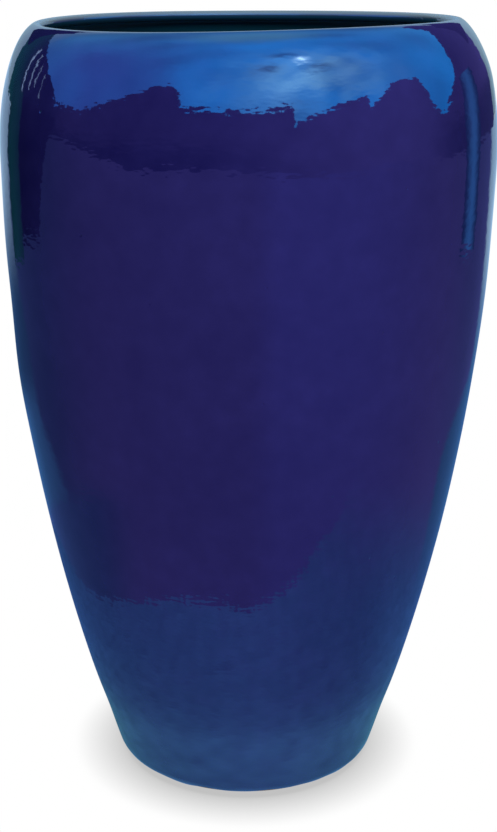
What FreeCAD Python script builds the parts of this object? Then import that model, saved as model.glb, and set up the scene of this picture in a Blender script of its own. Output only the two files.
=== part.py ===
import FreeCAD
import Part
import math
import os
from collections import namedtuple

# A tall round floor planter of glazed stoneware, in millimetres, standing on the floor at z = 0
# with its axis on +Z. The clay vessel carries a glaze coat outside, over the lip and down the
# throat. A rubber plug closes the drain hole from below, a mesh disc covers it inside, and
# rubber pads under the foot keep the clay off the floor.

# Finished vessel, glaze included
pot_height = 900.0
belly_diameter = 566.0
shoulder_width = 52.5
shoulder_height = 149.0

# Clay
foot_diameter = 280.0
heel_radius = 23.0
wall_thickness = 16.0
lip_thickness = 9.4
lip_lean_degrees = 30.0
floor_thickness = 24.0
inside_corner_radius = 45.0
foot_ring_width = 30.0
foot_recess_depth = 7.0
foot_recess_slope = 4.0
drain_hole_diameter = 30.0
drain_edge_radius = 3.0

# Glaze coat
glaze_thickness = 1.2
bare_foot_height = 8.0
throat_glaze_depth = 115.0

# Pads under the foot ring
pad_count = 4
pad_thickness = 3.0
pad_edge_margin = 3.0
pad_edge_chamfer = 0.6

# Rubber drain plug
plug_clearance = 0.1
plug_rib_count = 3
plug_rib_width = 4.0
plug_rib_height = 1.2
plug_nose_length = 5.0
plug_nose_inset = 3.0
plug_top_gap = 2.0
plug_flange_overlap = 7.0
plug_flange_thickness = 3.5
plug_flange_edge = 1.2
plug_lug_width = 7.0
plug_lug_margin = 4.0
plug_floor_gap = 2.5

# Mesh disc over the drain hole
screen_overlap = 20.0
screen_thickness = 1.6
screen_rim_width = 3.0
screen_rim_height = 2.6
mesh_pitch = 6.5
mesh_bar = 2.0

# Heights and radii that follow from the sizes above
foot_bottom = pad_thickness
recess_ceiling = foot_bottom + foot_recess_depth
floor_top = recess_ceiling + floor_thickness
shoulder_axis = belly_diameter / 2 - shoulder_width
belly_radius = belly_diameter / 2 - glaze_thickness
foot_radius = foot_diameter / 2
foot_ring_inside = foot_radius - foot_ring_width
drain_radius = drain_hole_diameter / 2
heel_centre_height = foot_bottom + heel_radius
corner_centre_height = floor_top + inside_corner_radius
lip_lean = math.radians(lip_lean_degrees)

# The round edge of the mouth, at a distance outside the clay: its centre, with the height taken
# from the belly, its radius, and the half sizes and last angle of the shoulder's ellipse
Lip = namedtuple("Lip", "centre_radius rise radius shoulder_half_width shoulder_half_height shoulder_end")


def lip_form(offset):
    """The shoulder's ellipse ends where it leans by the lip's angle, and the lip runs on from there."""
    half_width = shoulder_width - glaze_thickness + offset
    half_height = shoulder_height - glaze_thickness + offset
    radius = lip_thickness / 2 + offset
    end = math.atan2(half_height, half_width * math.tan(lip_lean))
    centre_radius = shoulder_axis + half_width * math.cos(end) - radius * math.sin(lip_lean)
    rise = half_height * math.sin(end) - radius * math.cos(lip_lean)
    return Lip(centre_radius, rise, radius, half_width, half_height, end)


glazed_lip = lip_form(glaze_thickness)
belly_height = pot_height - glazed_lip.radius - glazed_lip.rise


def tangent_wall():
    """Centre and radius of the arc that stands upright at the belly and runs into the heel arc."""
    inset = belly_radius - foot_radius
    drop = belly_height - heel_centre_height
    radius = (inset**2 + drop**2 - heel_radius**2) / (2 * (inset - heel_radius))
    return belly_radius - radius, radius


# A stretch of a circle or ellipse in the section plane, run from its first angle to its last
Arc = namedtuple("Arc", "centre_radius centre_height half_width half_height first last")


def circle_arc(centre_radius, centre_height, radius, first, last):
    return Arc(centre_radius, centre_height, radius, radius, first, last)


def point(radius, height):
    return FreeCAD.Vector(radius, 0, height)


def on_arc(arc, angle):
    radius = arc.centre_radius + arc.half_width * math.cos(angle)
    height = arc.centre_height + arc.half_height * math.sin(angle)
    return point(radius, height)


def arc_edge(arc):
    if arc.half_width == arc.half_height:
        middle = (arc.first + arc.last) / 2
        return Part.Arc(on_arc(arc, arc.first), on_arc(arc, middle), on_arc(arc, arc.last)).toShape()
    centre = point(arc.centre_radius, arc.centre_height)
    side = on_arc(arc, 0)
    top = on_arc(arc, math.pi / 2)
    low, high = sorted((arc.first, arc.last))
    if arc.half_width > arc.half_height:
        return Part.Ellipse(side, top, centre).toShape(low, high)
    return Part.Ellipse(top, side, centre).toShape(math.pi / 2 - high, math.pi / 2 - low)


def line(start, end):
    return Part.LineSegment(start, end).toShape()


def raise_start(arcs, height):
    """Drops what lies below the height at the start of a run of arcs that climbs."""
    kept = [arc for arc in arcs if on_arc(arc, arc.last).z > height]
    first = kept[0]
    if on_arc(first, first.first).z < height:
        kept[0] = first._replace(first=math.asin((height - first.centre_height) / first.half_height))
    return kept


def turned_round(arcs):
    return [arc._replace(first=arc.last, last=arc.first) for arc in reversed(arcs)]


def outside_arcs(offset):
    """Heel, wall and shoulder, climbing to the lip, at a distance outside the clay."""
    wall_centre, wall_radius = tangent_wall()
    heel_angle = math.atan2(heel_centre_height - belly_height, foot_radius - wall_centre)
    lip = lip_form(offset)
    half_width, half_height = lip.shoulder_half_width, lip.shoulder_half_height
    return [
        circle_arc(foot_radius, heel_centre_height, heel_radius + offset, -math.pi / 2, heel_angle),
        circle_arc(wall_centre, belly_height, wall_radius + offset, heel_angle, 0),
        Arc(shoulder_axis, belly_height, half_width, half_height, 0, lip.shoulder_end),
    ]


def lip_arc(offset):
    """The rounded edge of the mouth, from the shoulder over the crown and round to the throat."""
    lip = lip_form(offset)
    first = math.pi / 2 - lip_lean
    return circle_arc(lip.centre_radius, belly_height + lip.rise, lip.radius, first, 3 * math.pi / 2)


def inside_arcs(offset):
    """Corner of the floor, inner wall and throat, climbing to the lip, at a distance inside the clay."""
    wall_centre, wall_radius = tangent_wall()
    inner_radius = wall_radius - wall_thickness
    drop = corner_centre_height - belly_height
    corner_centre = wall_centre + math.sqrt((inner_radius - inside_corner_radius) ** 2 - drop**2)
    corner_angle = math.atan2(drop, corner_centre - wall_centre)
    corner_radius = inside_corner_radius - offset
    lip = lip_form(offset)
    throat_width = belly_radius - wall_thickness - offset - lip.centre_radius
    throat_height = lip.rise - lip.radius
    return [
        circle_arc(corner_centre, corner_centre_height, corner_radius, -math.pi / 2, corner_angle),
        circle_arc(wall_centre, belly_height, inner_radius - offset, corner_angle, 0),
        Arc(lip.centre_radius, belly_height, throat_width, throat_height, 0, math.pi / 2),
    ]


def revolved(edges):
    face = Part.Face(Part.Wire(edges))
    return face.revolve(FreeCAD.Vector(0, 0, 0), FreeCAD.Vector(0, 0, 1), 360)


def polyline(points):
    return [line(start, end) for start, end in zip(points, points[1:])]


def make_clay_body():
    """One fired vessel: foot ring, heel, wall, shoulder, lip, floor and drain hole."""
    skin = outside_arcs(0) + [lip_arc(0)] + turned_round(inside_arcs(0))
    edges = [arc_edge(arc) for arc in skin]
    edge_centre = drain_radius + drain_edge_radius
    edge_height = floor_top - drain_edge_radius
    drain_edge = circle_arc(edge_centre, edge_height, drain_edge_radius, math.pi / 2, math.pi)
    edges.append(line(on_arc(skin[-1], -math.pi / 2), on_arc(drain_edge, math.pi / 2)))
    edges.append(arc_edge(drain_edge))
    edges += polyline(
        [
            on_arc(drain_edge, math.pi),
            point(drain_radius, recess_ceiling),
            point(foot_ring_inside - foot_recess_slope, recess_ceiling),
            point(foot_ring_inside, foot_bottom),
            point(foot_radius, foot_bottom),
        ]
    )
    return revolved(edges)


def make_glaze_coat():
    """The glass skin fused on the clay, from just above the foot, over the lip and into the throat."""
    glaze_line = foot_bottom + bare_foot_height
    throat_end = pot_height - throat_glaze_depth
    faces = []
    for offset in (glaze_thickness, 0):
        outside = raise_start(outside_arcs(offset), glaze_line)
        inside = turned_round(raise_start(inside_arcs(offset), throat_end))
        faces.append(outside + [lip_arc(offset)] + inside)
    glass, clay = faces
    edges = [arc_edge(arc) for arc in glass]
    edges.append(line(on_arc(glass[-1], glass[-1].last), on_arc(clay[-1], clay[-1].last)))
    edges += [arc_edge(arc) for arc in turned_round(clay)]
    edges.append(line(on_arc(clay[0], clay[0].first), on_arc(glass[0], glass[0].first)))
    return revolved(edges)


def make_foot_pads():
    """Round rubber pads stuck under the foot ring, evenly spaced."""
    pad_radius = foot_ring_width / 2 - pad_edge_margin
    ring_radius = foot_radius - foot_ring_width / 2
    pads = {}
    for number in range(pad_count):
        turn = 2 * math.pi * (number + 0.5) / pad_count
        place = FreeCAD.Vector(ring_radius * math.cos(turn), ring_radius * math.sin(turn), 0)
        pad = Part.makeCylinder(pad_radius, pad_thickness, place)
        lower_edge = [edge for edge in pad.Edges if edge.BoundBox.ZMax < pad_edge_chamfer]
        pads[f"foot_pad_{number + 1}"] = pad.makeChamfer(pad_edge_chamfer, lower_edge)
    return pads


def make_plug_shank():
    """Ribbed shank and sealing flange, turned about the axis of the drain hole."""
    rib_radius = drain_radius - plug_clearance
    core_radius = rib_radius - plug_rib_height
    flange_radius = drain_radius + plug_flange_overlap
    flange_bottom = recess_ceiling - plug_flange_thickness
    plug_top = floor_top - plug_top_gap
    nose_start = plug_top - plug_nose_length
    rib_step = (nose_start - recess_ceiling) / plug_rib_count
    edges = polyline(
        [
            point(0, plug_top),
            point(0, flange_bottom),
            point(flange_radius - plug_flange_edge, flange_bottom),
            point(flange_radius, flange_bottom + plug_flange_edge),
            point(flange_radius, recess_ceiling),
            point(core_radius, recess_ceiling),
        ]
    )
    here = point(core_radius, recess_ceiling)
    for number in range(plug_rib_count):
        middle = recess_ceiling + rib_step * (number + 0.5)
        rib_start = point(core_radius, middle - plug_rib_width / 2)
        rib_end = point(core_radius, middle + plug_rib_width / 2)
        edges.append(line(here, rib_start))
        edges.append(Part.Arc(rib_start, point(rib_radius, middle), rib_end).toShape())
        here = rib_end
    nose_tip = point(core_radius - plug_nose_inset, plug_top)
    edges += polyline([here, point(core_radius, nose_start), nose_tip, point(0, plug_top)])
    return revolved(edges)


def make_drain_plug():
    """The plug with its pull lug, a round-ended bar under the flange that stays off the floor."""
    flange_bottom = recess_ceiling - plug_flange_thickness
    lug_height = flange_bottom - plug_floor_gap
    end_radius = plug_lug_width / 2
    half_length = drain_radius + plug_flange_overlap - plug_lug_margin - end_radius
    bar = Part.makeBox(2 * half_length, plug_lug_width, lug_height)
    bar.translate(FreeCAD.Vector(-half_length, -end_radius, plug_floor_gap))
    ends = [
        Part.makeCylinder(end_radius, lug_height, FreeCAD.Vector(side * half_length, 0, plug_floor_gap))
        for side in (-1, 1)
    ]
    lug = bar.multiFuse(ends).removeSplitter()
    return make_plug_shank().fuse(lug).removeSplitter()


def mesh_hole(centre_x, centre_y, height):
    half = (mesh_pitch - mesh_bar) / 2
    corners = [(-half, -half), (half, -half), (half, half), (-half, half), (-half, -half)]
    points = [FreeCAD.Vector(centre_x + x, centre_y + y, height) for x, y in corners]
    return Part.makePolygon(points)


def make_drain_screen():
    """A disc of square mesh with a raised rim, lying on the floor over the drain hole."""
    outer_radius = drain_radius + screen_overlap
    mesh_radius = outer_radius - screen_rim_width
    half_hole_diagonal = (mesh_pitch - mesh_bar) / math.sqrt(2)
    steps = int(mesh_radius / mesh_pitch)
    centre = FreeCAD.Vector(0, 0, floor_top)
    up = FreeCAD.Vector(0, 0, 1)
    wires = [Part.Wire(Part.makeCircle(outer_radius, centre, up))]
    for column in range(-steps, steps + 1):
        for row in range(-steps, steps + 1):
            centre_x = column * mesh_pitch
            centre_y = row * mesh_pitch
            if math.hypot(centre_x, centre_y) + half_hole_diagonal < mesh_radius:
                wires.append(mesh_hole(centre_x, centre_y, floor_top))
    mesh = Part.Face(wires, "Part::FaceMakerBullseye").extrude(up * screen_thickness)
    rim = Part.makeCylinder(outer_radius, screen_rim_height, centre)
    rim = rim.cut(Part.makeCylinder(mesh_radius, screen_rim_height, centre))
    return mesh.fuse(rim).removeSplitter()


def main():
    os.makedirs("parts", exist_ok=True)
    nodes = {
        "clay_body": make_clay_body(),
        "glaze_coat": make_glaze_coat(),
        "drain_plug": make_drain_plug(),
        "drain_screen": make_drain_screen(),
    }
    nodes.update(make_foot_pads())
    for name, shape in nodes.items():
        shape.exportStep(f"parts/{name}.step")
        box = shape.BoundBox
        print(f"{name}: solids {len(shape.Solids)}, volume {shape.Volume / 1000:.1f} cm3,", end=" ")
        print(f"valid {shape.isValid()}, z {box.ZMin:.2f} to {box.ZMax:.2f}")


main()
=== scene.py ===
import math

import bpy
import numpy as np
from mathutils import Matrix, Vector


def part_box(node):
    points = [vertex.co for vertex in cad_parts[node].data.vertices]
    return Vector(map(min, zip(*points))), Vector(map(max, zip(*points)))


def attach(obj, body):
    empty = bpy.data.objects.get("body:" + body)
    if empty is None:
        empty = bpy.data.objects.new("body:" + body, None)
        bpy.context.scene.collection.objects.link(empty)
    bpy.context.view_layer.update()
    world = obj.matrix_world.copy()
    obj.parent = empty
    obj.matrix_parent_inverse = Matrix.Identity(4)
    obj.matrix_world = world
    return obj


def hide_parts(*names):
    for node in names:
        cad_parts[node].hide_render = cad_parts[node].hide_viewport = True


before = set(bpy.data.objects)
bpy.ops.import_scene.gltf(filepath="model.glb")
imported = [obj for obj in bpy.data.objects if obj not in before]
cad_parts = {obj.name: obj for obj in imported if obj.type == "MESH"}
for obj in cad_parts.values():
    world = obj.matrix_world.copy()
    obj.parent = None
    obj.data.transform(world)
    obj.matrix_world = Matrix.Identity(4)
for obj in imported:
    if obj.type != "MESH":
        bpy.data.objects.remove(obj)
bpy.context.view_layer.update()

print("frame:", ", ".join(sorted(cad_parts)))

scene = bpy.context.scene
scene.view_settings.view_transform = "Standard"

# camera, in metres, degrees and pixels of a 497 x 832 picture
shot = dict(
    distance=1.740,  # from the planter's axis, along -Y
    aside=0.0024,  # a little to the right of the axis
    height=0.9807,
    downTilt=17.46,
    roll=0.29,  # the picture leans this much to the right
    focalPixels=1497.5,
    picturePixels=832.0,  # the long side
    sensorMillimetres=36.0,
)


def placeCamera():
    # focal length: its length in pixels times the sensor's side over the picture's
    lens = bpy.data.cameras.new("camera")
    lens.sensor_width = shot["sensorMillimetres"]
    lens.lens = shot["focalPixels"] * shot["sensorMillimetres"] / shot["picturePixels"]
    camera = bpy.data.objects.new("camera", lens)
    scene.collection.objects.link(camera)
    tilt = Matrix.Rotation(math.radians(90 - shot["downTilt"]), 4, "X")
    roll = Matrix.Rotation(math.radians(shot["roll"]), 4, "Z")
    place = Matrix.Translation((shot["aside"], -shot["distance"], shot["height"]))
    camera.matrix_world = place @ tilt @ roll
    scene.camera = camera


placeCamera()
print("camera placed")


# mesh and node helpers
def linear(hexColour):
    # sRGB hex to linear: divide by 12.92 near black, else the 2.4 power
    channels = np.array([int(hexColour[i : i + 2], 16) for i in (1, 3, 5)]) / 255
    bright = ((channels + 0.055) / 1.055) ** 2.4
    return (*np.where(channels <= 0.04045, channels / 12.92, bright), 1.0)


def node(tree, kind, sockets=None, **settings):
    # adds a node; a socket is given a value, or a link where the value is another node's socket
    made = tree.nodes.new(kind)
    for key, value in settings.items():
        setattr(made, key, value)
    for key, value in (sockets or {}).items():
        if isinstance(value, bpy.types.NodeSocket):
            tree.links.new(value, made.inputs[key])
        else:
            made.inputs[key].default_value = value
    return made


def newMaterial(name):
    # an empty material, and the node tree to fill
    material = bpy.data.materials.new(name)
    material.use_nodes = True
    material.node_tree.nodes.clear()
    return material, material.node_tree


def gridObject(name, points, material, closeRows=True, closeColumns=True, sharpAngle=50):
    # points: rows x columns x 3, quads join neighbours in the grid; closed, the last row or column joins
    # the first; edges bent by more than the sharp angle, in degrees, stay crisp
    rows, columns = points.shape[:2]
    index = np.arange(rows * columns).reshape(rows, columns)
    above = np.roll(index, -1, 0)
    quads = np.stack([index, np.roll(index, -1, 1), np.roll(above, -1, 1), above], -1)
    quads = quads if closeRows else quads[:-1]
    quads = (quads if closeColumns else quads[:, :-1]).reshape(-1, 4)
    mesh = bpy.data.meshes.new(name)
    mesh.vertices.add(rows * columns)
    mesh.vertices.foreach_set("co", points.astype(np.float32).ravel())
    mesh.loops.add(quads.size)
    mesh.loops.foreach_set("vertex_index", quads.astype(np.int32).ravel())
    mesh.polygons.add(len(quads))
    mesh.polygons.foreach_set("loop_start", np.arange(0, quads.size, 4, dtype=np.int32))
    mesh.polygons.foreach_set("use_smooth", np.ones(len(quads), bool))
    mesh.update(calc_edges=True)
    mesh.validate()
    mesh.set_sharp_from_angle(angle=math.radians(sharpAngle))
    mesh.materials.append(material)
    made = bpy.data.objects.new(name, mesh)
    scene.collection.objects.link(made)
    return made


def mark(made, name, values):
    # one number per vertex, for a material to read
    layer = made.data.attributes.new(name, "FLOAT", "POINT")
    layer.data.foreach_set("value", values.astype(np.float32).ravel())


def smoothStep(value):
    # 0 below 0, 1 above 1, and an S-curve between
    share = np.clip(value, 0, 1)
    return share * share * (3 - 2 * share)


def ramp(value, start, end):
    # S-curve from 0 at start to 1 at end, which may lie below it
    return smoothStep((value - start) / (end - start))


# the turned form, in metres; overall sizes come from the frame
glazeLow, glazeHigh = (np.array(corner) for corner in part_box("glaze_coat"))
clayLow, clayHigh = (np.array(corner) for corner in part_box("clay_body"))
screenLow = np.array(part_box("drain_screen")[0])

form = dict(
    height=glazeHigh[2],
    bellyRadius=clayHigh[0],  # bare clay
    glaze=0.0012,
    footBottom=clayLow[2],
    footRadius=0.140,
    heelRadius=0.023,
    shoulderWidth=0.0525,
    shoulderHeight=0.149,
    wall=0.016,
    lip=0.0094,
    lipLean=30.0,  # degrees: lean of the shoulder where the lip's round begins
    floorTop=screenLow[2],
    floorThickness=0.024,
    insideCorner=0.045,
    footRing=0.030,
    recessSlope=0.004,
    drainRadius=0.015,
    drainEdge=0.003,
)
lipLean = math.radians(form["lipLean"])
shoulderAxis = glazeHigh[0] - form["shoulderWidth"]


def lipForm(offset):
    # the shoulder's ellipse ends where it leans by the lip's angle; the lip's round runs on from there
    half = np.array([form["shoulderWidth"], form["shoulderHeight"]]) - form["glaze"] + offset
    nose = form["lip"] / 2 + offset
    end = math.atan2(half[1], half[0] * math.tan(lipLean))
    radius = shoulderAxis + half[0] * math.cos(end) - nose * math.sin(lipLean)
    rise = half[1] * math.sin(end) - nose * math.cos(lipLean)  # over the belly
    return half, end, nose, radius, rise


lipNose, lipRise = lipForm(form["glaze"])[2::2]
bellyHeight = form["height"] - (lipNose + lipRise)
heelHeight = form["footBottom"] + form["heelRadius"]
cornerHeight = form["floorTop"] + form["insideCorner"]

# the wall is one arc, upright at the belly and tangent to the heel's arc
wallInset = form["bellyRadius"] - form["footRadius"]
wallDrop = bellyHeight - heelHeight
wallRadius = (wallInset**2 + wallDrop**2 - form["heelRadius"] ** 2) / (2 * (wallInset - form["heelRadius"]))
wallCentre = form["bellyRadius"] - wallRadius
heelAngle = math.atan2(heelHeight - bellyHeight, form["footRadius"] - wallCentre)
innerRadius = wallRadius - form["wall"]
cornerDrop = cornerHeight - bellyHeight
cornerCentre = wallCentre + math.sqrt((innerRadius - form["insideCorner"]) ** 2 - cornerDrop**2)
cornerAngle = math.atan2(cornerDrop, cornerCentre - wallCentre)
quarter = math.pi / 2


def arc(centre, half, first, last, rows, side=(0.0, 0.0)):
    # rows x columns of (radius, height, side): centre plus half sizes times (cos, sin) of an angle that
    # runs from first to last; first and last may differ from column to column
    share = np.linspace(0, 1, rows)[:, None]
    angle = first + (last - first) * share
    sides = np.broadcast_to(side[0] + (side[1] - side[0]) * share, angle.shape)
    return np.stack([centre[0] + half[0] * np.cos(angle), centre[1] + half[1] * np.sin(angle), sides])


def straight(start, end, rows, side=0.0):
    # rows of (radius, height, side) on the line from start to end
    share = np.linspace(0, 1, rows)[:, None]
    line = np.array(start)[:, None, None] * (1 - share) + np.array(end)[:, None, None] * share
    return np.concatenate([line, np.full((1, rows, 1), side)])


def joined(stretches, columns):
    # stretches in a row, each without its first line of points, which repeats the one before
    full = [np.broadcast_to(s, (3, s.shape[1], columns)) for s in stretches]
    return np.concatenate([full[0]] + [s[:, 1:] for s in full[1:]], axis=1)


def outside(offset, start, rows):
    # heel, wall, shoulder and lip at a distance outside the clay, upwards
    heel, wall, shoulder, lip = rows
    half, end, nose, radius, rise = lipForm(offset)
    return [
        arc((form["footRadius"], heelHeight), (form["heelRadius"] + offset,) * 2, start, heelAngle, heel),
        arc((wallCentre, bellyHeight), (wallRadius + offset,) * 2, heelAngle, 0, wall),
        arc((shoulderAxis, bellyHeight), half, 0, end, shoulder),
        arc((radius, bellyHeight + rise), (nose,) * 2, quarter - lipLean, 3 * quarter, lip, (0.0, 1.0)),
    ]


def throat(offset, end, rows):
    # from under the lip down the inside of the shoulder
    nose, radius, rise = lipForm(offset)[2:]
    half = (form["bellyRadius"] - form["wall"] - offset - radius, rise - nose)
    return arc((radius, bellyHeight), half, quarter, end, rows, (1.0, 1.0))


# what the hand and the kiln did to the turned form
hand = dict(
    seed=7,
    waves=14,
    mostRound=9,  # most swellings in one turn
    leastUp=0.6,  # least and most swellings from foot to lip
    mostUp=7.0,
    calm=6.0,  # the more swellings, the lower; from foot to lip this much less so
    swell=0.00022,  # metres
    swellRise=(0, 1 / 1.2),  # share of the height over which swellings and oval grow
    oval=0.0007,
    ovalTurn=0.6,  # radians
    rimTilt=0.0117,  # slope of the lip, high on the right
    mouthShift=0.0015,  # the mouth lies this far left of the lip's outer edge
    mouthDepth=0.14,  # below the lip; shift, pinch, tilt and rim waves die out over it
    sway=0.0014,  # the upper half stands this far right
    swayRise=(0.3, 0.9),  # share of the height over which it starts, and over which the lip leaves it
    lipRise=(0.93, 0.995),
    mouthPinch=0.0038,  # the mouth is this much narrower on the left and right
    lipPinch=0.0019,  # and so is the lip
    pinchRight=0.5,  # share by which that is more on the right and less on the left
    bulge=(3.14, 0.49, 0.5, 0.075, 0.0026),  # on the left: turn, height, reach round and up, size
    drawnIn=0.0012,  # the wall is drawn in by this just above the foot
    drawnHeight=0.066,
    drawnReach=0.032,
    # waves of the rim: how many in a turn, height, phase
    rim=((0, 0.00125, 0.0), (1, 0.001, -0.44), (2, 0.0013, 1.33), (3, 0.00044, -2.04)),
)


def handThrown(turn, stretch):
    # radius: adds an oval, a sum of slow waves round and up the pot, a bulge and a drawn-in foot as bell
    # curves, and a sideways slide and pinch of top and mouth
    # height: tilts the rim in proportion to how far right a point is, and adds a few waves round it
    radius, height, side = stretch
    random = np.random.default_rng(hand["seed"])
    around = random.integers(1, hand["mostRound"] + 1, hand["waves"])[:, None, None]
    upwards = random.uniform(hand["leastUp"], hand["mostUp"], hand["waves"])[:, None, None] * 2 * math.pi
    phases = random.uniform(0, 2 * math.pi, hand["waves"])[:, None, None]
    share = height / form["height"]
    waves = np.cos(around * turn + upwards * share[None] + phases)
    waves = waves / np.sqrt(around + upwards / hand["calm"])
    rise = ramp(share, *hand["swellRise"])
    swell = hand["swell"] * waves.sum(0) * rise
    oval = hand["oval"] * np.cos(2 * (turn - hand["ovalTurn"])) * rise
    top = ramp(height, form["height"] - hand["mouthDepth"], form["height"])
    lip = ramp(share, *hand["lipRise"])
    sway = hand["sway"] * ramp(share, *hand["swayRise"]) * (1 - lip) - side * hand["mouthShift"] * top
    lipPinch = hand["lipPinch"] * lip * (1 + hand["pinchRight"] * np.cos(turn))
    pinch = (side * hand["mouthPinch"] * top + lipPinch) * np.cos(turn) ** 2
    middle, level, reachRound, reachUp, size = hand["bulge"]
    away = np.angle(np.exp(1j * (turn - middle)))
    bulge = size * np.exp(-((away / reachRound) ** 2) - ((height - level) / reachUp) ** 2)
    drawn = hand["drawnIn"] * np.exp(-(((height - hand["drawnHeight"]) / hand["drawnReach"]) ** 2))
    shifted = radius + swell + oval + (bulge - drawn) * (1 - side) + sway * np.cos(turn) - pinch
    wobble = sum(lift * np.cos(count * turn + phase) for count, lift, phase in hand["rim"])
    return shifted, height + (hand["rimTilt"] * radius * np.cos(turn) + wobble) * top


def placed(turn, radius, height):
    # cylinder coordinates to x, y, z
    return np.stack([radius * np.cos(turn), radius * np.sin(turn), height], -1)


def ragged(turn, seed, waves, least, most):
    # an uneven line round the pot: waves of whole numbers between least and most per turn, about -1 to 1
    random = np.random.default_rng(seed)
    count = random.integers(least, most + 1, waves)[:, None]
    phase = random.uniform(0, 2 * math.pi, waves)[:, None]
    return np.cos(count * turn + phase).sum(0) / math.sqrt(waves)


# cobalt glaze: glass with cobalt oxide fired on stoneware, dipped and poured; deep violet blue where it is
# thick, a wet shine with slow ripples, a few pinholes
glaze = dict(
    columns=300,
    rows=(12, 112, 56, 26),  # heel, wall, shoulder, lip
    throatRows=22,
    underRows=(4, 18, 14, 10),
    underThroatRows=8,
    edgeRows=6,
    footWander=0.0012,
    footWaves=(9, 3, 31),  # number, least and most in a turn
    throatLine=0.115,  # below the lip
    throatWander=0.004,
    throatWaves=(7, 2, 17),
    drips=26,
    dripLength=0.018,
    shortDrip=0.2,  # share of that length
    dripWidth=0.035,  # radians
    edgeBead=0.0002,
    beadRows=3,  # rows over which the bead dies out
    footBulge=(-0.5, -0.8),  # way in which the edges bulge: outwards, up
    throatBulge=(0.0, -1.0),
    seed=21,
    deep=("#15124a", 0.32),  # colour, and where it lies on the patches' scale from 0 to 1
    body=("#1a1750", 0.5),
    thin=("#201d5a", 0.72),
    roughness=0.04,
    gloss=0.5,
    ior=1.55,
    thinGlazeAndHighlight="#6c797c",  # paler grey over the lip's top: thin glaze there, and a painted highlight of the light line along the lip
    thinGlazeAndHighlightRoughness=0.34,
    thinGlazeAndHighlightGloss=0.2,
    thinGlazeAndHighlightDepth=(0.0065, 0.0025),  # metres below the lip over which it starts
    thinGlazeAndHighlightRadius=(0.002, -0.001),  # and metres outside the lip's crest
    paintedThroatLight="#12485c",  # painted light: a lighter teal than the glaze down the throat, lifting the shade inside the mouth
    paintedThroatLightDepth=(0.002, 0.007),
    patchMillimetres=160,
    mottleMillimetres=24,
    mottleShare=0.45,
    rippleMillimetres=40,
    rippleHeight=0.00019,
    peelMillimetres=13,
    peelHeight=0.00014,
    squash=2.2,  # ripples are this much wider than high, along the throwing lines
    pinholeMillimetres=42,  # from one pinhole to the next
    pinholeSize=(0.015, 0.045),  # share of that, bottom and brim
    pinholeDepth=0.0004,
)


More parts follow.
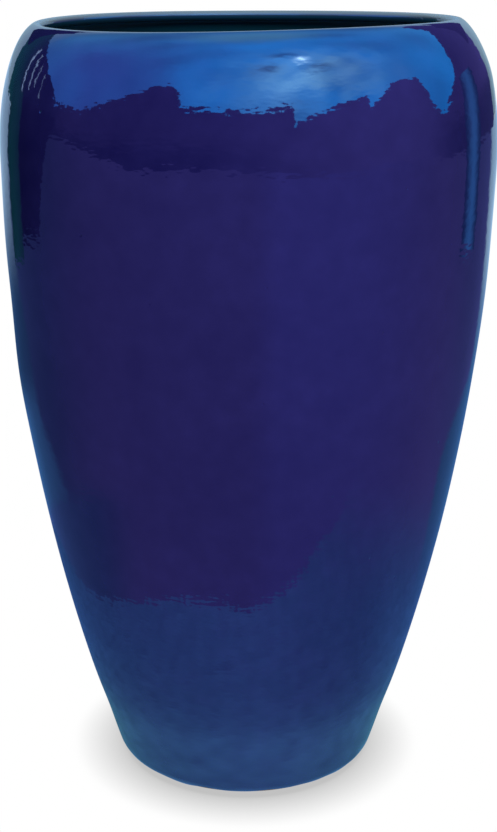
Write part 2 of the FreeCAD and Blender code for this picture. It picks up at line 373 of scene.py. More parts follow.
def cobaltGlaze():
    # patches and mottle shift the blue; over the lip's top it is paler and duller, thin glaze with a painted
    # highlight;
    # down the throat it is painted a lighter teal as painted light; ripples, peel and pinholes bend the
    # gloss
    material, tree = newMaterial("cobalt glaze on stoneware")
    place = node(tree, "ShaderNodeTexCoord").outputs["Object"]
    scale = 1000 / glaze["patchMillimetres"]
    patches = node(tree, "ShaderNodeTexNoise", {"Vector": place, "Scale": scale, "Detail": 4.0})
    scale = 1000 / glaze["mottleMillimetres"]
    mottle = node(tree, "ShaderNodeTexNoise", {"Vector": place, "Scale": scale, "Detail": 3.0})
    mottling = {0: glaze["mottleShare"], 2: patches.outputs["Fac"], 3: mottle.outputs["Fac"]}
    tone = node(tree, "ShaderNodeMix", mottling)
    shade = node(tree, "ShaderNodeValToRGB", {"Fac": tone.outputs[0]})
    stops = shade.color_ramp.elements
    stops.new(glaze["body"][1])
    for stop, (colour, position) in zip(stops, (glaze["deep"], glaze["body"], glaze["thin"])):
        stop.position = position
        stop.color = linear(colour)
    # painted highlight: the lip's top turns a paler grey, partly thin glaze and partly the light line along
    # the lip
    thinAndHighlit = node(tree, "ShaderNodeAttribute", attribute_name="thinGlazeAndHighlight").outputs["Fac"]
    thinGlazeAndHighlight = {0: thinAndHighlit, 6: shade.outputs["Color"], 7: linear(glaze["thinGlazeAndHighlight"])}
    thinnedAndHighlit = node(tree, "ShaderNodeMix", thinGlazeAndHighlight, data_type="RGBA")
    rough = node(
        tree,
        "ShaderNodeMapRange",
        {"Value": thinAndHighlit, "To Min": glaze["roughness"], "To Max": glaze["thinGlazeAndHighlightRoughness"]},
    )
    gloss = node(
        tree,
        "ShaderNodeMapRange",
        {"Value": thinAndHighlit, "To Min": glaze["gloss"], "To Max": glaze["thinGlazeAndHighlightGloss"]},
    )
    # painted light: the throat turns a lighter teal, against the shade inside the mouth
    depth = node(tree, "ShaderNodeAttribute", attribute_name="paintedThroatLight").outputs["Fac"]
    throatLighting = {0: depth, 6: thinnedAndHighlit.outputs[2], 7: linear(glaze["paintedThroatLight"])}
    paintedThroatLight = node(tree, "ShaderNodeMix", throatLighting, data_type="RGBA")
    squashed = node(tree, "ShaderNodeMapping", {"Vector": place, "Scale": (1.0, 1.0, glaze["squash"])})
    along = squashed.outputs["Vector"]
    scale = 1000 / glaze["rippleMillimetres"]
    ripple = node(tree, "ShaderNodeTexNoise", {"Vector": along, "Scale": scale, "Detail": 1.5})
    waving = {"Height": ripple.outputs["Fac"], "Distance": glaze["rippleHeight"]}
    slow = node(tree, "ShaderNodeBump", waving)
    scale = 1000 / glaze["peelMillimetres"]
    peel = node(tree, "ShaderNodeTexNoise", {"Vector": along, "Scale": scale, "Detail": 1.0})
    fine = node(
        tree,
        "ShaderNodeBump",
        {"Height": peel.outputs["Fac"], "Distance": glaze["peelHeight"], "Normal": slow.outputs["Normal"]},
    )
    scale = 1000 / glaze["pinholeMillimetres"]
    cells = node(tree, "ShaderNodeTexVoronoi", {"Vector": place, "Scale": scale})
    bottom, brim = glaze["pinholeSize"]
    pit = node(
        tree,
        "ShaderNodeMapRange",
        {"Value": cells.outputs["Distance"], "From Min": bottom, "From Max": brim},
    )
    pitted = node(
        tree,
        "ShaderNodeBump",
        {
            "Height": pit.outputs["Result"],
            "Distance": glaze["pinholeDepth"],
            "Normal": fine.outputs["Normal"],
        },
    )
    surface = node(
        tree,
        "ShaderNodeBsdfPrincipled",
        {
            "Base Color": paintedThroatLight.outputs[2],
            "Roughness": rough.outputs["Result"],
            "IOR": glaze["ior"],
            "Specular IOR Level": gloss.outputs["Result"],
            "Normal": pitted.outputs["Normal"],
        },
    )
    node(tree, "ShaderNodeOutputMaterial", {"Surface": surface.outputs["BSDF"]})
    return material


def roundedEnd(first, last, along, rows):
    # the glaze's edge: from one side of the skin to the other, bulging along the wall as half a sine
    share = np.linspace(0, 1, rows)[:, None]
    points = first[:, None] * (1 - share) + last[:, None] * share
    bulge = np.sin(math.pi * share) * form["glaze"] / 2
    points[:2] += np.array(along)[:, None, None] * bulge
    return points


def makeGlazeCoat():
    # closed loop of rows: up the outside, over the lip, down the throat, then back under the glass
    turn = np.linspace(0, 2 * math.pi, glaze["columns"], endpoint=False)
    line = glazeLow[2] + glaze["footWander"] * ragged(turn, glaze["seed"], *glaze["footWaves"])
    random = np.random.default_rng(glaze["seed"])
    dripTurn = random.uniform(0, 2 * math.pi, glaze["drips"])[:, None]
    dripLength = glaze["dripLength"] * random.uniform(glaze["shortDrip"], 1.0, glaze["drips"])[:, None]
    away = np.angle(np.exp(1j * (turn - dripTurn)))
    drips = (dripLength * np.exp(-((away / glaze["dripWidth"]) ** 2))).max(0)
    wander = glaze["throatWander"] * ragged(turn, glaze["seed"] + 1, *glaze["throatWaves"])
    end = form["height"] - glaze["throatLine"] - drips + wander
    stretches = []
    for offset, rows, throatRows in (
        (form["glaze"], glaze["rows"], glaze["throatRows"]),
        (0.0, glaze["underRows"], glaze["underThroatRows"]),
    ):
        start = np.arcsin((line - heelHeight) / (form["heelRadius"] + offset))
        nose, rise = lipForm(offset)[2::2]
        stop = np.arcsin((end - bellyHeight) / (rise - nose))
        skin = outside(offset, start, rows) + [throat(offset, stop, throatRows)]
        stretches.append(joined(skin, glaze["columns"]))
    glass, under = stretches
    heelRows = glaze["rows"][0]
    glass[0, :heelRows] += glaze["edgeBead"] * np.exp(-np.arange(heelRows) / glaze["beadRows"])[:, None]
    lower = roundedEnd(under[:, 0], glass[:, 0], glaze["footBulge"], glaze["edgeRows"])
    upper = roundedEnd(glass[:, -1], under[:, -1], glaze["throatBulge"], glaze["edgeRows"])
    loop = np.concatenate([glass, upper[:, 1:-1], under[:, ::-1], lower[:, 1:-1]], axis=1)
    radius, height = handThrown(turn, loop)
    coat = gridObject("glazeCoat", placed(turn, radius, height), cobaltGlaze())
    depth = form["height"] - loop[1]
    crest = loop[0, glass[1, :, 0].argmax()]
    # painted highlight and thin glaze over the lip's top, inward of its crest
    near = ramp(loop[0] - crest, *glaze["thinGlazeAndHighlightRadius"])
    mark(coat, "thinGlazeAndHighlight", ramp(depth, *glaze["thinGlazeAndHighlightDepth"]) * near)
    # painted light down the throat
    mark(coat, "paintedThroatLight", loop[2] * ramp(depth, *glaze["paintedThroatLightDepth"]))
    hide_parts("glaze_coat")
    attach(coat, "pot")


makeGlazeCoat()
print("glaze coat made")


# fired stoneware: thrown buff clay with iron specks, dry and rough, rings left by the fingers inside
clay = dict(
    columns=256,
    rows=(12, 24, 16, 10),  # heel, wall, shoulder, lip
    throatRows=14,
    wallRows=190,
    cornerRows=26,
    floorRows=44,
    edgeRows=6,
    recessRows=20,
    slopeRows=4,
    footRows=6,
    ringPitch=0.024,
    ringHeight=0.0006,
    ringsTop=(0.74, 0.69),  # metres up over which the rings on the wall start, at the top and at the foot
    ringsFoot=(0.06, 0.10),
    floorRing=0.012,
    floorRingHeight=0.0004,
    floorRingsStart=(0.045, 0.065),  # metres from the axis
    buff=("#8e7154", 0.7),  # colour, and where it lies on the patches' scale from 0 to 1
    dark=("#684f3a", 0.3),
    speck="#3c2b1f",
    speckSize=(0.1, 0.2),  # share of the spacing, middle and edge
    paintedInsideShade="#163a46",  # painted shade: the inside is painted a dark teal
    paintedInsideShadeShare=0.9,
    patchMillimetres=70,
    grainMillimetres=1.6,  # coarser than real grit, so that it shows
    speckMillimetres=7,  # from one speck to the next
    grainHeight=0.00025,
    roughness=0.88,
    gloss=0.1,
)


def firedStoneware():
    # patches shift the buff, iron specks darken it, painted shade tints the inside dark teal, and fine grain
    # breaks the light
    material, tree = newMaterial("fired stoneware")
    place = node(tree, "ShaderNodeTexCoord").outputs["Object"]
    scale = 1000 / clay["patchMillimetres"]
    patches = node(tree, "ShaderNodeTexNoise", {"Vector": place, "Scale": scale, "Detail": 5.0})
    shade = node(tree, "ShaderNodeValToRGB", {"Fac": patches.outputs["Fac"]})
    for stop, (colour, position) in zip(shade.color_ramp.elements, (clay["dark"], clay["buff"])):
        stop.position = position
        stop.color = linear(colour)
    cells = node(tree, "ShaderNodeTexVoronoi", {"Vector": place, "Scale": 1000 / clay["speckMillimetres"]})
    middle, edge = clay["speckSize"]
    near = node(
        tree,
        "ShaderNodeMapRange",
        {
            "Value": cells.outputs["Distance"],
            "From Min": middle,
            "From Max": edge,
            "To Min": 1.0,
            "To Max": 0.0,
        },
    )
    speckled = node(
        tree,
        "ShaderNodeMix",
        {0: near.outputs["Result"], 6: shade.outputs["Color"], 7: linear(clay["speck"])},
        data_type="RGBA",
    )
    shadedInside = node(
        tree,
        "ShaderNodeMix",
        {
            0: node(tree, "ShaderNodeAttribute", attribute_name="paintedInsideShade").outputs["Fac"],
            6: speckled.outputs[2],
            7: linear(clay["paintedInsideShade"]),
        },
        data_type="RGBA",
    )
    scale = 1000 / clay["grainMillimetres"]
    grain = node(tree, "ShaderNodeTexNoise", {"Vector": place, "Scale": scale, "Detail": 3.0})
    rough = node(tree, "ShaderNodeBump", {"Height": grain.outputs["Fac"], "Distance": clay["grainHeight"]})
    surface = node(
        tree,
        "ShaderNodeBsdfPrincipled",
        {
            "Base Color": shadedInside.outputs[2],
            "Roughness": clay["roughness"],
            "Specular IOR Level": clay["gloss"],
            "Normal": rough.outputs["Normal"],
        },
    )
    node(tree, "ShaderNodeOutputMaterial", {"Surface": surface.outputs["BSDF"]})
    return material


def makeClayVessel():
    # closed loop of rows: foot, up the outside, over the lip, down the inside, floor, drain hole, recess;
    # the throwing rings on wall and floor are cosines that wind by one pitch in a turn
    turn = np.linspace(0, 2 * math.pi, clay["columns"], endpoint=False)
    ceiling = form["floorTop"] - form["floorThickness"]
    ringInside = form["footRadius"] - form["footRing"]
    recess = (ringInside - form["recessSlope"], ceiling)
    ringEdge = (ringInside, form["footBottom"])
    footEdge = (form["footRadius"], form["footBottom"])
    floorTop = form["floorTop"]
    edge = form["drainEdge"]
    hole = form["drainRadius"]
    brim = hole + edge
    inner = (innerRadius,) * 2
    corner = (form["insideCorner"],) * 2
    within = (1.0, 1.0)  # these rows belong to the inside
    stretches = outside(0.0, -quarter, clay["rows"]) + [
        throat(0.0, 0.0, clay["throatRows"]),
        arc((wallCentre, bellyHeight), inner, 0, cornerAngle, clay["wallRows"], within),
        arc((cornerCentre, cornerHeight), corner, cornerAngle, -quarter, clay["cornerRows"], within),
        straight((cornerCentre, floorTop), (brim, floorTop), clay["floorRows"], 1.0),
        arc((brim, floorTop - edge), (edge,) * 2, quarter, 2 * quarter, clay["edgeRows"]),
        straight((hole, floorTop - edge), (hole, ceiling), clay["edgeRows"]),
        straight((hole, ceiling), recess, clay["recessRows"]),
        straight(recess, ringEdge, clay["slopeRows"]),
        straight(ringEdge, footEdge, clay["footRows"]),
    ]
    loop = joined(stretches, clay["columns"])[:, :-1]
    radius, height, side = loop
    inside = side * ramp(height, *clay["ringsTop"]) * ramp(height, *clay["ringsFoot"])
    rings = clay["ringHeight"] * np.cos(2 * math.pi * height / clay["ringPitch"] + turn)
    onFloor = np.isclose(height, floorTop) * ramp(radius, *clay["floorRingsStart"])
    spiral = clay["floorRingHeight"] * np.cos(2 * math.pi * radius / clay["floorRing"] + turn)
    outRadius, outHeight = handThrown(turn, loop)
    points = placed(turn, outRadius + inside * rings, outHeight + onFloor * spiral)
    vessel = gridObject("clayVessel", points, firedStoneware())
    # painted shade over the inside
    mark(vessel, "paintedInsideShade", clay["paintedInsideShadeShare"] * side)
    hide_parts("clay_body")
    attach(vessel, "pot")


makeClayVessel()
print("clay vessel made")


# moulded pieces that keep their solids: rubber plug and pads, plastic screen
moulded = dict(
    driftMillimetres=18,
    gloss=0.2,
    plug=dict(
        name="moulded black rubber",
        light="#2a2a2b",
        dark="#161617",
        roughness=0.62,
        grainMillimetres=2.2,
        grainHeight=0.00008,
    ),
    pads=dict(
        name="die-cut grey rubber",
        light="#3c3b3a",
        dark="#262626",
        roughness=0.75,
        grainMillimetres=1.4,
        grainHeight=0.00012,
    ),
    screen=dict(
        name="moulded green polypropylene",
        light="#2f4030",
        dark="#1d2a1f",
        roughness=0.42,
        grainMillimetres=1.0,
        grainHeight=0.00004,
    ),
)


def mouldedMaterial(finish):
    # a dull skin with the grain of the mould, drawn coarser than real so that it shows, and colour that
    # drifts a little across the piece
    material, tree = newMaterial(finish["name"])
    place = node(tree, "ShaderNodeTexCoord").outputs["Object"]
    scale = 1000 / moulded["driftMillimetres"]
    drift = node(tree, "ShaderNodeTexNoise", {"Vector": place, "Scale": scale, "Detail": 3.0})
    shade = node(tree, "ShaderNodeValToRGB", {"Fac": drift.outputs["Fac"]})
    shade.color_ramp.elements[0].color = linear(finish["dark"])
    shade.color_ramp.elements[1].color = linear(finish["light"])
    scale = 1000 / finish["grainMillimetres"]
    grain = node(tree, "ShaderNodeTexNoise", {"Vector": place, "Scale": scale, "Detail": 2.0})
    skin = node(tree, "ShaderNodeBump", {"Height": grain.outputs["Fac"], "Distance": finish["grainHeight"]})
    surface = node(
        tree,
        "ShaderNodeBsdfPrincipled",
        {
            "Base Color": shade.outputs["Color"],
            "Roughness": finish["roughness"],
            "Specular IOR Level": moulded["gloss"],
            "Normal": skin.outputs["Normal"],
        },
    )
    node(tree, "ShaderNodeOutputMaterial", {"Surface": surface.outputs["BSDF"]})
    return material


def dress(names, material):
    # takes the frame's plain material off and puts this one on
    for name in names:
        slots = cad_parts[name].data.materials
        slots.clear()
        slots.append(material)


dress(["drain_plug"], mouldedMaterial(moulded["plug"]))
dress(["drain_screen"], mouldedMaterial(moulded["screen"]))
padNames = [name for name in sorted(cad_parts) if name.startswith("foot_pad")]
dress(padNames, mouldedMaterial(moulded["pads"]))
print("moulded pieces dressed")


# set: cool cards round the pot that only the gloss sees, as a studio hides them from the lens, and a floor;
# directions are degrees right of the lens and degrees up, and a brightness of 1 is that of white paper
def glowMaterial(name):
    # gives off the colour that its points carry
    material, tree = newMaterial(name)
    colour = node(tree, "ShaderNodeAttribute", attribute_name="glow")
    light = node(tree, "ShaderNodeEmission", {"Color": colour.outputs["Color"]})
    node(tree, "ShaderNodeOutputMaterial", {"Surface": light.outputs["Emission"]})
    material.cycles.emission_sampling = "NONE"
    return material


def glossCard(name, points, glow, closeColumns=True):
    # a grid whose points carry their own brightness; hidden from all but glossy rays
    card = gridObject(name, points, glowMaterial(name), closeRows=False, closeColumns=closeColumns)
    colours = np.ones(points.shape[:2] + (4,), np.float32)
    colours[..., :3] = glow
    layer = card.data.attributes.new("glow", "FLOAT_COLOR", "POINT")
    layer.data.foreach_set("color", colours.ravel())
    card.visible_camera = False
    card.visible_diffuse = False
    card.visible_transmission = False
    card.visible_volume_scatter = False
    card.visible_shadow = False


def aimed(turn, rise):
    # unit direction from degrees right of the lens and degrees up
    turn, rise = np.broadcast_arrays(np.radians(turn), np.radians(rise))
    return np.stack([np.cos(rise) * np.sin(turn), -np.cos(rise) * np.cos(turn), np.sin(rise)], -1)


def allRound(columns):
    # degrees right of the lens, once round in even steps from straight behind
    return np.linspace(-180, 180, columns, endpoint=False)[None, :]


def paint(colour, strength):
    # linear colour times brightness
    return np.array(linear(colour)[:3]) * strength


def blended(first, second, share):
    # first where the share is 0, second where it is 1, and in proportion between
    return first * (1 - share[..., None]) + second * share[..., None]


def wandering(turn, corners, depth, waves):
    # straight from corner to corner, plus an uneven line of some depth
    return np.interp(turn, *np.array(corners).T) + depth * ragged(np.radians(turn), *waves)


def patchy(place, seed, waves, least, most):
    # sum of waves through space, each at a random heading and with least to most radians to the unit
    random = np.random.default_rng(seed)
    heading = random.normal(size=(waves, 3))
    heading = heading / np.linalg.norm(heading, axis=1, keepdims=True)
    heading = heading * random.uniform(least, most, (waves, 1))
    phase = random.uniform(0, 2 * math.pi, waves)
    return np.cos(place @ heading.T + phase).sum(-1) / math.sqrt(waves)


def bell(direction, turn, rise, reachAside, reachDown, reachUp=None):
    # bell curve of how far a direction lies sideways, and down or up, from a middle, in degrees
    ahead = aimed(turn, rise)
    right = aimed(turn + 90, 0.0)
    above = np.cross(right, ahead)
    aside = np.degrees(np.arctan2(direction @ right, direction @ ahead))
    up = np.degrees(np.arcsin(np.clip(direction @ above, -1, 1)))
    reach = np.where(up < 0, reachDown, reachUp or reachDown)
    return np.exp(-((aside / reachAside) ** 2) - (up / reach) ** 2)


dome = dict(
    radius=12.0,
    foot=-4.0,  # degrees up
    rows=189,
    columns=720,
    low=("#1078c8", 0.8),  # colour and brightness at the foot
    high=("#71d4ff", 1.5),  # and high up
    highRise=(0, 70),  # degrees up over which the one turns into the other
    lowBack=("#b4dcf4", 0.7),  # the same behind the pot
    highBack=("#b4dcff", 2.2),
    backReach=(0.46, 0.76),  # share of the radius behind the pot over which front turns into back
    wide=("#0094ff", 8.0),  # broad glow in front
    widePlace=(15.0, 38.0, 93.0, 60.0, 34.0),  # degrees: right, up, reach sideways, down and up
    uneven=0.16,
    unevenWaves=(3, 40, 5, 24),  # seed, number, least and most radians to the unit
    violet=("#5865ff", 3.2),  # a duller patch on the left
    violetPlace=(-74.0, 28.0, 40.0, 30.0),  # degrees: right, up, reach sideways and up
    violetShare=0.6,
    haze=("#c3ffff", 2.3),
    hazePlace=(30.0, 37.0, 27.0, 16.0),
    wisps=0.4,
    wispWaves=(11, 60, 8, 45),
    zenith=("#65c7ff", 4.2),  # straight overhead
    zenithRise=(66, 86),
    smudges=((19, 53, 6, 2.5), (9, 42, 5, 2.5), (36.5, 41, 6, 3)),  # dimmer places
    smudge=0.6,
    glint=("#c8ecff", 17.0),
    glintPlace=(28.5, 47.5, 2.1, 2.1),
)


def makeDome():
    # sphere above the floor: low, high, front and back run into each other as S-curves; over them lie a
    # broad glow, patches, haze, smudges and a small glint, the round ones as bell curves
    rise = np.linspace(dome["foot"], 90, dome["rows"])[:, None]
    direction = aimed(allRound(dome["columns"]), rise)
    up = ramp(rise, *dome["highRise"])
    back = ramp(direction[..., 1], *dome["backReach"])
    front = blended(paint(*dome["low"]), paint(*dome["high"]), up)
    behind = blended(paint(*dome["lowBack"]), paint(*dome["highBack"]), up)
    glow = blended(front, behind, back)
    glow = blended(glow, paint(*dome["wide"]), bell(direction, *dome["widePlace"]) * (1 - back))
    glow = glow * (1 + dome["uneven"] * patchy(direction, *dome["unevenWaves"]))[..., None]
    violet = dome["violetShare"] * bell(direction, *dome["violetPlace"])
    glow = blended(glow, paint(*dome["violet"]), violet)
    wisps = 1 + dome["wisps"] * patchy(direction, *dome["wispWaves"])
    haze = bell(direction, *dome["hazePlace"]) * wisps
    glow = glow + paint(*dome["haze"]) * haze[..., None]
    glow = blended(glow, paint(*dome["zenith"]), ramp(rise, *dome["zenithRise"]))
    for place in dome["smudges"]:
        glow = glow * (1 - dome["smudge"] * bell(direction, *place))[..., None]
    glow = glow + paint(*dome["glint"]) * bell(direction, *dome["glintPlace"])[..., None]
    glossCard("overheadGlow", direction * dome["radius"], glow)


screens = dict(
    radius=11.0,
    foot=-5.0,  # degrees up
    rows=24,
    columns=2160,
    left=("#60b0ff", 0.03),
    edge=("#30fff0", 0.09),  # furthest round on the left
    edgeTurn=(-120, -140),  # degrees right over which one turns into the other
    front=("#9088ff", 0.26),
    frontTurn=(-100, -88),
    frontRise=(-1, 5),  # degrees up, dark below
    right=("#8880ff", 1.0),
    rightTurn=(-35, 55),
    rightEnd=(75, 110),  # most of it ends here
    rightLoss=0.85,
    # corners of the tops: degrees right of the lens, and degrees up seen from the lip
    tops=(
        (-148, -6), (-147, 30), (-138, 28), (-130, 26), (-118, 21), (-104, 14), (-97, 9), (-80, 10),
        (-72, 13), (-60, 17), (-52, 21), (-44, 26), (-38, 27.5), (-34, 25), (-32, 22), (-31.5, 17),
        (20, 17.5), (20.5, 11), (25, 12), (54, 17), (56, 12), (58, 14), (62, 16), (66, 19), (70, 22),
        (77, 22.5), (86, 20.5), (91, 9), (97, 5), (101, 6), (109, 11), (113, 16), (116, 22), (119, 27),
        (124, 31), (129, 34.5), (136, 41), (142, 43), (149, 40), (150, -6),
    ),
    ragged=0.4,  # degrees
    raggedWaves=(5, 30, 20, 240),  # seed, number, least and most in a turn
)


def makeScreens():
    # part of a sphere round the lip; its colours run into each other as S-curves
    turn = allRound(screens["columns"])
    foot = screens["foot"]
    tops = np.maximum(wandering(turn, screens["tops"], screens["ragged"], screens["raggedWaves"]), foot)
    rise = foot + (tops - foot) * np.linspace(0, 1, screens["rows"])[:, None]
    points = aimed(turn, rise) * screens["radius"]
    points[..., 2] += form["height"]
    toFront = ramp(turn, *screens["frontTurn"]) * ramp(rise, *screens["frontRise"])
    loss = screens["rightLoss"] * ramp(turn, *screens["rightEnd"])
    toRight = ramp(turn, *screens["rightTurn"]) * (1 - loss)
    glow = blended(paint(*screens["left"]), paint(*screens["edge"]), ramp(turn, *screens["edgeTurn"]))
    glow = blended(glow, paint(*screens["front"]), toFront)
    glow = blended(glow, paint(*screens["right"]), toRight)
    glossCard("darkScreens", points, glow)


ground = dict(
    inside=0.10,  # metres, under the pot
    reach=11.4,  # metres from there, past the screens
    crowding=3,  # power that crowds the rows near the pot
    rows=110,
    columns=720,
    height=0.0004,
    rise=0.78,  # metres, far out on the left
    riseTurn=(-48, -82),  # degrees right and metres out over which it rises
    riseReach=(2, 10),
    side=("#7098ff", 0.25),
    front=("#8f87ff", 0.68),
    frontTurn=(-112, -57),  # degrees right over which it starts, and over which it loses a share
    frontEnd=(90, 130),
    frontLoss=0.7,
    right=("#7878ff", 1.25),
    rightTurn=(-1, 17),
    rightEnd=(40, 100),
    rightLeast=0.55,  # share of it near the pot
    rightReach=(0.5, 1.7),  # metres out over which it grows to all
    back=("#b0d8ff", 1.0),
    # where the back starts on the left: metres out, degrees round
    backEdge=((0.8, 97), (0.9, 104), (1.2, 117), (2.5, 131), (3.5, 136)),
    backStart=112,  # degrees round on the right, and how much further round far out
    backTurn=29,
    backReach=(0.9, 1.8),
    backBlur=5,  # degrees
    farLeft=(2.2, 4.6),  # metres out over which the near back turns into the far one
    farRight=(1.5, 3.9),
    nearBack="#60a8ff",
    nearLeft=(0.225, 0.45),  # brightness further out and near
    nearLeftReach=(1.75, 1.25),
    nearRight=0.48,
    close=("#6a9aff", 0.4),  # a patch close to the pot on the left
    closeReach=(0.87, 0.81),
    closeTurn=(-47, -83),
)


def groundGlow(turn, radius):
    # dim on the left, lighter in front, more so right of the lens, lightest far behind, where the light
    # part starts further round the further out it is; all run into each other as S-curves
    onLeft = turn < 0
    loss = ground["frontLoss"] * ramp(turn, *ground["frontEnd"])
    toFront = ramp(turn, *ground["frontTurn"]) * (1 - loss)
    toRight = ramp(turn, *ground["rightTurn"]) * (1 - ramp(turn, *ground["rightEnd"]))
    least = ground["rightLeast"]
    toRight = toRight * (least + (1 - least) * ramp(radius, *ground["rightReach"]))
    leftEdge = np.interp(radius, *np.array(ground["backEdge"]).T)
    rightEdge = ground["backStart"] + ground["backTurn"] * ramp(radius, *ground["backReach"])
    toBack = smoothStep((np.abs(turn) - np.where(onLeft, leftEdge, rightEdge)) / ground["backBlur"])
    far = np.where(onLeft, ramp(radius, *ground["farLeft"]), ramp(radius, *ground["farRight"]))
    dim, bright = ground["nearLeft"]
    nearLeft = dim + (bright - dim) * ramp(radius, *ground["nearLeftReach"])
    near = np.where(onLeft, nearLeft, ground["nearRight"])
    back = blended(paint(ground["nearBack"], 1.0) * near[..., None], paint(*ground["back"]), far)
    close = ramp(radius, *ground["closeReach"]) * ramp(turn, *ground["closeTurn"])
    glow = blended(paint(*ground["side"]), paint(*ground["front"]), toFront)
    glow = blended(glow, paint(*ground["right"]), toRight)
    glow = blended(glow, back, toBack)
    return blended(glow, paint(*ground["close"]), close)


def makeGround():
    # ring out past the screens, flat but for a gentle rise far out on the left
    turn = allRound(ground["columns"])
    share = np.linspace(0, 1, ground["rows"])[:, None] ** ground["crowding"]
    radius = ground["inside"] + ground["reach"] * share
    points = aimed(turn, 0.0) * radius[..., None]
    rise = ground["rise"] * ramp(turn, *ground["riseTurn"]) * ramp(radius, *ground["riseReach"])
    points[..., 2] = ground["height"] + rise
    glossCard("darkGround", points, groundGlow(turn, radius))


slits = dict(
    rows=12,
    columns=17,
    # strips, light and dark: degrees right of the lens from and to, degrees up from and to, share of the
    # width left at the foot, distance, colour, brightness along the middle and at the sides
    strips=(
        (109.5, 123.5, -17, 11, 1.0, 2.6, "#4a9bff", 1.2, 0.18),
        (-129, -127, 3, 20, 1.0, 10.0, "#b0d0ff", 2.4, 0.1),
        (-122.5, -121, 6, 19, 1.0, 10.0, "#b0d0ff", 2.4, 0.1),
        (-117.2, -116, 8, 17, 1.0, 10.0, "#b0d0ff", 2.2, 0.1),
        (-111.2, -110.2, 7, 15, 1.0, 10.0, "#b0d0ff", 1.8, 0.1),
        (-157, -142, 13, 36, 1.0, 10.0, "#60b0ff", 0.03, 0.03),
        (142, 158, 13, 31, 1.0, 10.0, "#8880ff", 0.2, 0.2),
        (-122, -92, -15.5, 3, 0.55, 3.0, "#20ffd8", 0.005, 0.005),
        (-136, -122, -19, 3, 1.0, 3.0, "#20ffd8", 0.09, 0.07),
    ),
)


def makeSlits():
    # patches of a sphere round the lip, going from side to middle and back as a squared sine
    across = np.linspace(0, 1, slits["columns"])[None, :]
    share = np.linspace(0, 1, slits["rows"])[:, None]
    for number, strip in enumerate(slits["strips"]):
        start, end, low, high, narrow, distance, colour, middle, sides = strip
        turn = start + (end - start) * across * (narrow + (1 - narrow) * share)
        points = aimed(turn, low + (high - low) * share) * distance
        points[..., 2] += form["height"]
        glow = sides + (middle - sides) * np.sin(math.pi * across) ** 2
        glossCard(f"slit{number}", points, paint(colour, 1.0) * glow[..., None], closeColumns=False)


sheet = dict(
    inside=0.10,  # metres, under the pot
    crowding=1.5,  # power that crowds the rows near the pot
    rows=90,
    columns=720,
    height=0.0008,
    # corners of the edge: degrees right of the lens, and metres from the axis
    edge=(
        (-180, 0.85), (-150, 0.8), (-135, 0.73), (-123, 0.64), (-108, 0.545), (-98, 0.51), (-83, 0.487),
        (-61, 0.484), (-32, 0.51), (-13, 0.5), (0, 0.486), (14, 0.515), (25, 0.562), (32, 0.622),
        (40, 0.69), (46, 0.763), (54, 0.93), (70, 1.05), (120, 1.15), (150, 1.25), (180, 1.3),
    ),
    ragged=0.006,  # metres
    raggedWaves=(13, 24, 25, 150),  # seed, number, least and most in a turn
    colour="#5d9cff",
    far=1.45,  # brightness in front
    farLeast=0.2,  # share of it behind
    farPower=1.6,
    near=2.15,  # brightness added in front near the foot
    nearPower=3,
    nearReach=0.09,  # metres from the foot; the reaches below are in units of it
    paintedContactShadow=0.4,  # painted contact shadow: share of the brightness left against the foot
    paintedContactShadowReach=(-0.1, 0.9),
    rightGain=0.18,  # brighter far round on the right
    rightTurn=(60, 90),
    dip=0.14,  # dimmer before that, away from the foot
    dipTurn=(5, 35),
    dipReach=(0.8, 2.0),
    swirl=0.09,
    swirlWaves=(9, 50, 40, 190),  # seed, number, least and most radians to the metre
    swirlRings=2.5,  # weight of the distance from the axis
    side=("#6ec2d6", 0.62),  # greyer near the foot, less in front by a share
    sideReach=1.6,
    sideLoss=0.55,
    fadeTurn=(10, 60),  # degrees right and metres out over which it fades into the ground
    fadeReach=(0.45, 0.95),
)


def makeSheet():
    # pale sheet under the pot: brighter near the foot as a bell curve of the distance but dimmed against it
    # as a painted contact shadow, brighter in front as a power of a cosine, greyer near the foot at the
    # sides, slightly patchy, and fading into the ground on the right
    turn = allRound(sheet["columns"])
    edge = wandering(turn, sheet["edge"], sheet["ragged"], sheet["raggedWaves"])
    share = np.linspace(0, 1, sheet["rows"])[:, None] ** sheet["crowding"]
    radius = sheet["inside"] + (edge - sheet["inside"]) * share
    points = aimed(turn, 0.0) * radius[..., None]
    points[..., 2] = sheet["height"]
    reach = np.maximum(radius - form["footRadius"], 0) / sheet["nearReach"]
    front = 0.5 + 0.5 * np.cos(np.radians(turn))
    level = sheet["far"] * (sheet["farLeast"] + (1 - sheet["farLeast"]) * front ** sheet["farPower"])
    level = level + sheet["near"] * np.exp(-(reach**2)) * front ** sheet["nearPower"]
    # painted contact shadow: the sheet dims against the foot
    level = level * (sheet["paintedContactShadow"] + (1 - sheet["paintedContactShadow"]) * ramp(reach, *sheet["paintedContactShadowReach"]))
    right = ramp(turn, *sheet["rightTurn"])
    dip = ramp(turn, *sheet["dipTurn"]) * (1 - right) * ramp(reach, *sheet["dipReach"])
    level = level * (1 + sheet["rightGain"] * right - sheet["dip"] * dip)
    swirls = np.stack([points[..., 0], points[..., 1], sheet["swirlRings"] * radius], -1)
    level = level * (1 + sheet["swirl"] * patchy(swirls, *sheet["swirlWaves"]))
    grey = np.exp(-((reach / sheet["sideReach"]) ** 2)) * (1 - sheet["sideLoss"] * front**2)
    glow = level[..., None] * blended(paint(sheet["colour"], 1.0), paint(*sheet["side"]), grey)
    fade = ramp(turn, *sheet["fadeTurn"]) * ramp(radius, *sheet["fadeReach"])
    glossCard("paleSheet", points, blended(glow, groundGlow(turn, radius), fade))


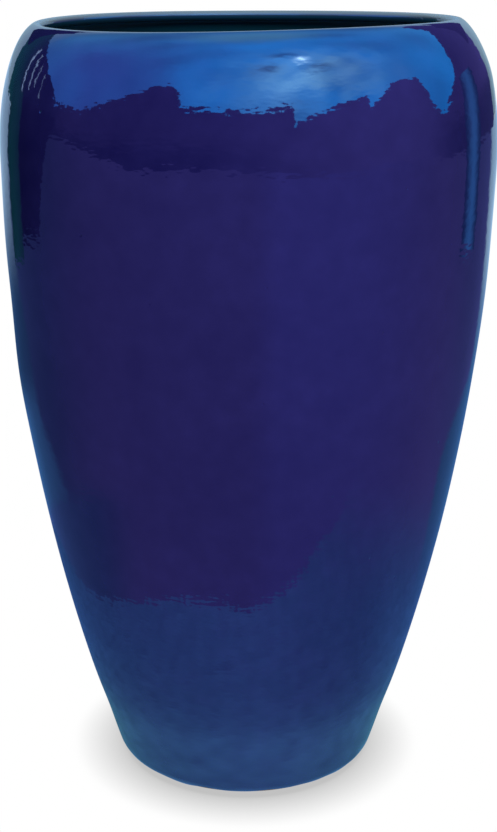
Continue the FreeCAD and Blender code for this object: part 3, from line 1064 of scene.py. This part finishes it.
def seenRays(tree):
    # 1 for rays from the lens, from gloss and through clear things, 0 for light that lights something
    rays = node(tree, "ShaderNodeLightPath").outputs
    seen = rays["Is Camera Ray"]
    for kind in ("Is Glossy Ray", "Is Transmission Ray"):
        seen = node(tree, "ShaderNodeMath", {0: seen, 1: rays[kind]}, operation="MAXIMUM").outputs[0]
    return seen


floor = dict(
    radius=60.0,
    middleRing=2.0,  # metres
    opening=0.118,  # radius left open under the pot, so that light from below reaches its underside
    columns=96,
    colour="#f2f2f2",
    shadow=0.53,  # brightness where the pot stands on it
    shadowReach=0.076,  # metres
    openness=(0.3, 0.9),  # share of open air above, from full shadow to none
)


def paleFloorMaterial():
    # a matt white floor that is seen as white, darker where the pot keeps the light off; clear from below
    material, tree = newMaterial("pale floor")
    air = node(tree, "ShaderNodeAmbientOcclusion", {"Distance": floor["shadowReach"]}, samples=24)
    level = node(
        tree,
        "ShaderNodeMapRange",
        {
            "Value": air.outputs["AO"],
            "From Min": floor["openness"][0],
            "From Max": floor["openness"][1],
            "To Min": floor["shadow"],
            "To Max": 1.0,
        },
    )
    white = node(tree, "ShaderNodeEmission", {"Strength": level.outputs["Result"]})
    matt = node(tree, "ShaderNodeBsdfDiffuse", {"Color": linear(floor["colour"])})
    above = node(tree, "ShaderNodeMixShader", {0: seenRays(tree), 1: matt.outputs[0], 2: white.outputs[0]})
    below = node(tree, "ShaderNodeNewGeometry").outputs["Backfacing"]
    clear = node(tree, "ShaderNodeBsdfTransparent")
    surface = node(tree, "ShaderNodeMixShader", {0: below, 1: above.outputs[0], 2: clear.outputs[0]})
    node(tree, "ShaderNodeOutputMaterial", {"Surface": surface.outputs[0]})
    material.cycles.emission_sampling = "NONE"
    return material


def makeFloor():
    # flat rings from far out in to the opening under the pot
    turn = np.linspace(0, 2 * math.pi, floor["columns"], endpoint=False)[None, :]
    radius = np.array([floor["radius"], floor["middleRing"], floor["opening"]])[:, None]
    points = placed(turn, radius, np.zeros((len(radius), floor["columns"])))
    gridObject("paleFloor", points, paleFloorMaterial(), closeRows=False)


makeDome()
makeScreens()
makeGround()
makeSlits()
makeSheet()
makeFloor()
print("set made")

# lights: a wide soft key lamp from high in front, a small lamp under the floor for the underside, and a
# weak even fill from the world, which is seen as white
lights = dict(
    key=dict(place=(0.3, -2.3, 3.3), aim=(0.0, 0.0, 0.45), size=2.2, power=118.0),
    under=dict(place=(0.0, -0.1, -0.6), aim=(0.0, 0.0, 0.0), size=0.3, power=1.6),
    fill="#dfe7f2",
    fillStrength=0.14,
)


def softLamp(name):
    # a round lamp that the lens and the gloss don't see
    want = lights[name]
    lamp = bpy.data.lights.new(name, "AREA")
    lamp.shape = "DISK"
    lamp.size = want["size"]
    lamp.energy = want["power"]
    made = bpy.data.objects.new(name, lamp)
    scene.collection.objects.link(made)
    made.location = want["place"]
    made.rotation_euler = (Vector(want["aim"]) - made.location).to_track_quat("-Z", "Y").to_euler()
    made.visible_glossy = False
    made.visible_camera = False


def lightUp():
    # both lamps, and a world that lights as the fill
    softLamp("key")
    softLamp("under")
    world = bpy.data.worlds.new("white studio")
    world.use_nodes = True
    scene.world = world
    tree = world.node_tree
    tree.nodes.clear()
    filling = {"Color": linear(lights["fill"]), "Strength": lights["fillStrength"]}
    fill = node(tree, "ShaderNodeBackground", filling)
    white = node(tree, "ShaderNodeBackground", {"Color": (1, 1, 1, 1), "Strength": 1.0})
    air = node(tree, "ShaderNodeMixShader", {0: seenRays(tree), 1: fill.outputs[0], 2: white.outputs[0]})
    node(tree, "ShaderNodeOutputWorld", {"Surface": air.outputs[0]})


lightUp()
print("lights set")
